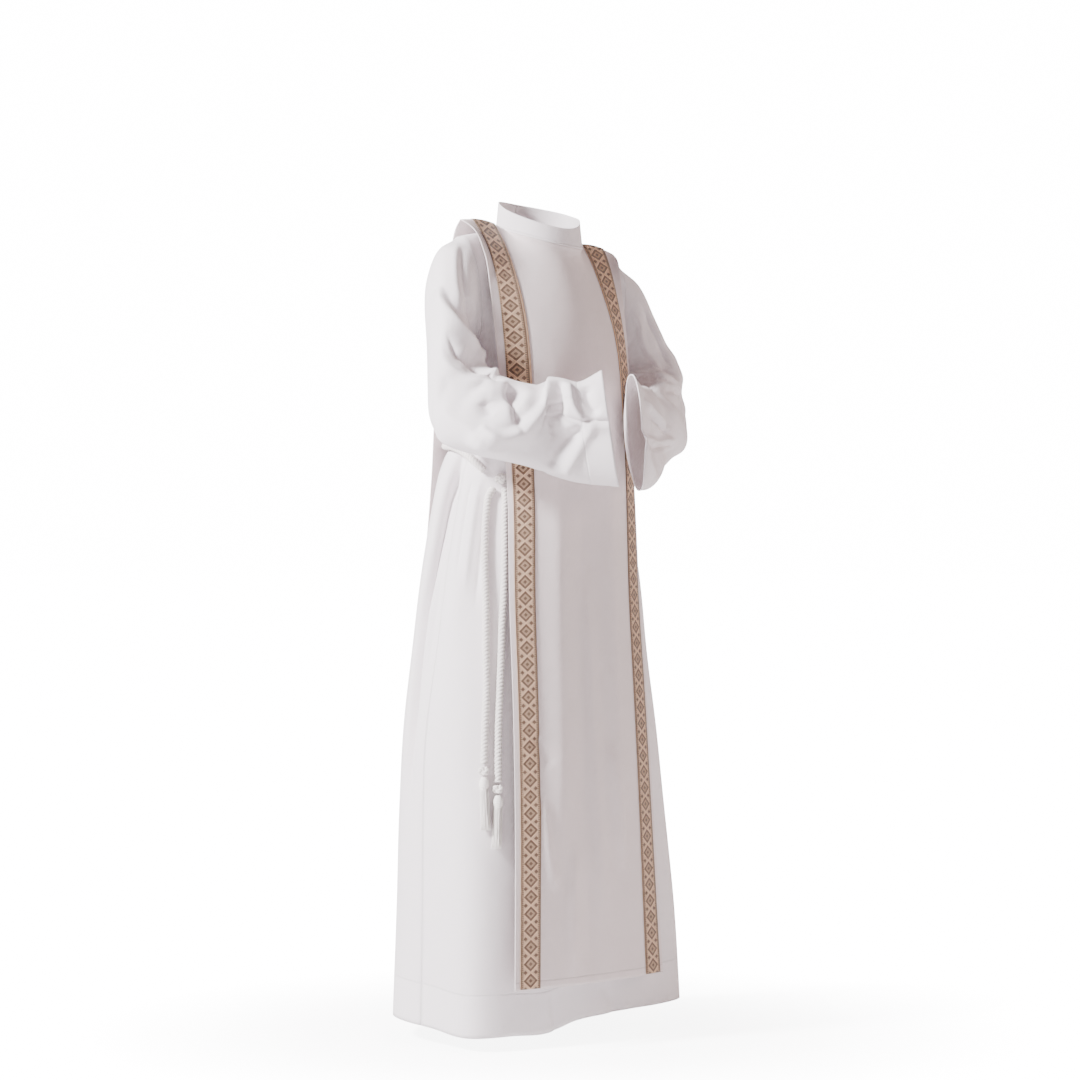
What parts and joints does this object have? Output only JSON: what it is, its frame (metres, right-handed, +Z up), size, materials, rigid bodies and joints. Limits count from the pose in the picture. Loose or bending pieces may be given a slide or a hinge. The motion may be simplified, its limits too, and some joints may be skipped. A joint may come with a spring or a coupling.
{
  "type": "first communion robe",
  "caption": "Child's first communion robe: a long white alb with wide sleeves and a stand collar, a loose tabard with woven trims over it, and a knotted rope belt with tassels.",
  "frame": {"origin": "centre of the collar seam, between the shoulders where the robe hangs on its wearer", "axes": "+Z up, +X to the wearer's left, -Y to the front"},
  "size_m": [0.4718, 0.3967, 1.2028],
  "materials": {
    "alb_cloth": "white plain-woven polyester, soft and matt",
    "tabard_cloth": "white plain-woven polyester, soft and matt",
    "woven_trim": "woven jacquard braid in pale gold and brown, in a pattern of diamonds",
    "rope": "twisted off-white cotton rope",
    "tassel": "off-white cotton threads, bound at the head"
  },
  "bodies": {
    "root": {"alb_front": "alb_cloth", "alb_back": "alb_cloth", "sleeve_right": "alb_cloth", "sleeve_left": "alb_cloth", "sleeve_left_cuff": "alb_cloth", "collar": "alb_cloth", "scapular_front": "tabard_cloth", "scapular_back": "tabard_cloth", "trim_front_right": "woven_trim", "trim_front_left": "woven_trim", "trim_back_right": "woven_trim", "trim_back_left": "woven_trim", "belt_rope": "rope", "belt_knot": "rope", "rope_end_back": "rope", "rope_end_front": "rope", "end_knot_back": "rope", "end_knot_front": "rope", "tassel_back": "tassel", "tassel_front": "tassel"}
  },
  "joints": []
}
